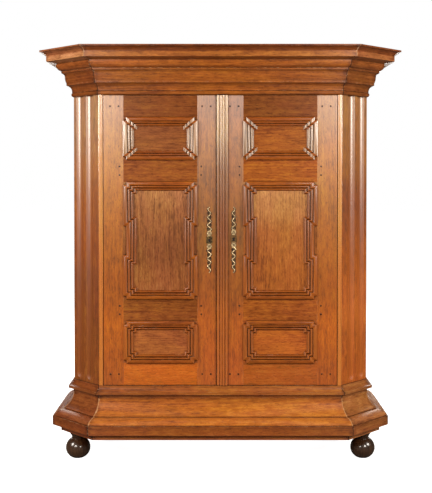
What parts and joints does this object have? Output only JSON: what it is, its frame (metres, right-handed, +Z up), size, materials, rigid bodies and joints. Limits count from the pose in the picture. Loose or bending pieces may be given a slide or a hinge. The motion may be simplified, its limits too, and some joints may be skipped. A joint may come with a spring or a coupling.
{
  "type": "kas cupboard",
  "caption": "Tall two-door wooden cupboard with canted fluted corners, eared panel mouldings, flared base on ball feet and deep stepped cornice; both doors swing and three bolts slide.",
  "frame": {"origin": "centre of the bounding box's base, on the floor", "axes": "+X to the right seen from the front, +Y to the back, +Z up"},
  "size_m": [1.9, 0.73, 2.16],
  "materials": {
    "wood": "polished walnut with a warm red-brown sheen",
    "dark_wood": "dark stained and polished",
    "plain_wood": "bare planed pine",
    "peg_wood": "dark end grain",
    "brass": "aged",
    "iron": "forged, dark"
  },
  "bodies": {
    "case": {"back_boards": "plain_wood", "base_cove": "wood", "base_frame": "plain_wood", "base_roll": "wood", "bottom_board": "wood", "cornice_architrave": "wood", "cornice_bed": "wood", "cornice_corona": "wood", "cornice_frame": "plain_wood", "cornice_frieze": "wood", "cornice_top": "plain_wood", "door_stops": "plain_wood", "front_feet": "dark_wood", "hinge_pins": "iron", "left_corner_board": "wood", "left_front_post": "wood", "left_side_frame": "wood", "plinth": "wood", "rear_feet": "plain_wood", "right_corner_board": "wood", "right_front_post": "wood", "right_side_frame": "wood", "shelf_bearers": "plain_wood", "shelves": "plain_wood", "side_panels": "wood", "sub_base": "wood", "top_board": "plain_wood", "waist_moulding": "wood"},
    "left_door": {"left_bottom_rail": "wood", "left_centre_moulding": "wood", "left_centre_panel": "wood", "left_escutcheon": "brass", "left_hinge_stile": "wood", "left_lower_rail": "wood", "left_meeting_stile": "wood", "left_pegs": "peg_wood", "left_small_mouldings": "wood", "left_small_panels": "wood", "left_top_rail": "wood", "left_upper_rail": "wood", "lock_keeper": "iron", "bolt_guides": "iron"},
    "right_door": {"right_bottom_rail": "wood", "right_centre_moulding": "wood", "right_centre_panel": "wood", "right_escutcheon": "brass", "right_hinge_stile": "wood", "right_lower_rail": "wood", "right_meeting_stile": "wood", "right_pegs": "peg_wood", "right_small_mouldings": "wood", "right_small_panels": "wood", "right_top_rail": "wood", "right_upper_rail": "wood", "astragal": "wood", "lock_case": "iron"},
    "lock_bolt": {"lock_bolt": "iron"},
    "upper_bolt": {"upper_bolt": "iron"},
    "lower_bolt": {"lower_bolt": "iron"}
  },
  "joints": [
    {"name": "left_door_hinge", "type": "hinge", "parent": "case", "child": "left_door", "pos_m": [-0.5915, -0.1855, 1.168], "axis": [0, 0, -1], "range_deg": [0, 115]},
    {"name": "right_door_hinge", "type": "hinge", "parent": "case", "child": "right_door", "pos_m": [0.5915, -0.1855, 1.168], "axis": [0, 0, 1], "range_deg": [0, 115]},
    {"name": "lock_bolt_slide", "type": "slide", "parent": "right_door", "child": "lock_bolt", "axis": [-1, 0, 0], "range_m": [0, 0.016]},
    {"name": "upper_bolt_slide", "type": "slide", "parent": "left_door", "child": "upper_bolt", "axis": [0, 0, 1], "range_m": [0, 0.018]},
    {"name": "lower_bolt_slide", "type": "slide", "parent": "left_door", "child": "lower_bolt", "axis": [0, 0, -1], "range_m": [0, 0.018]}
  ]
}
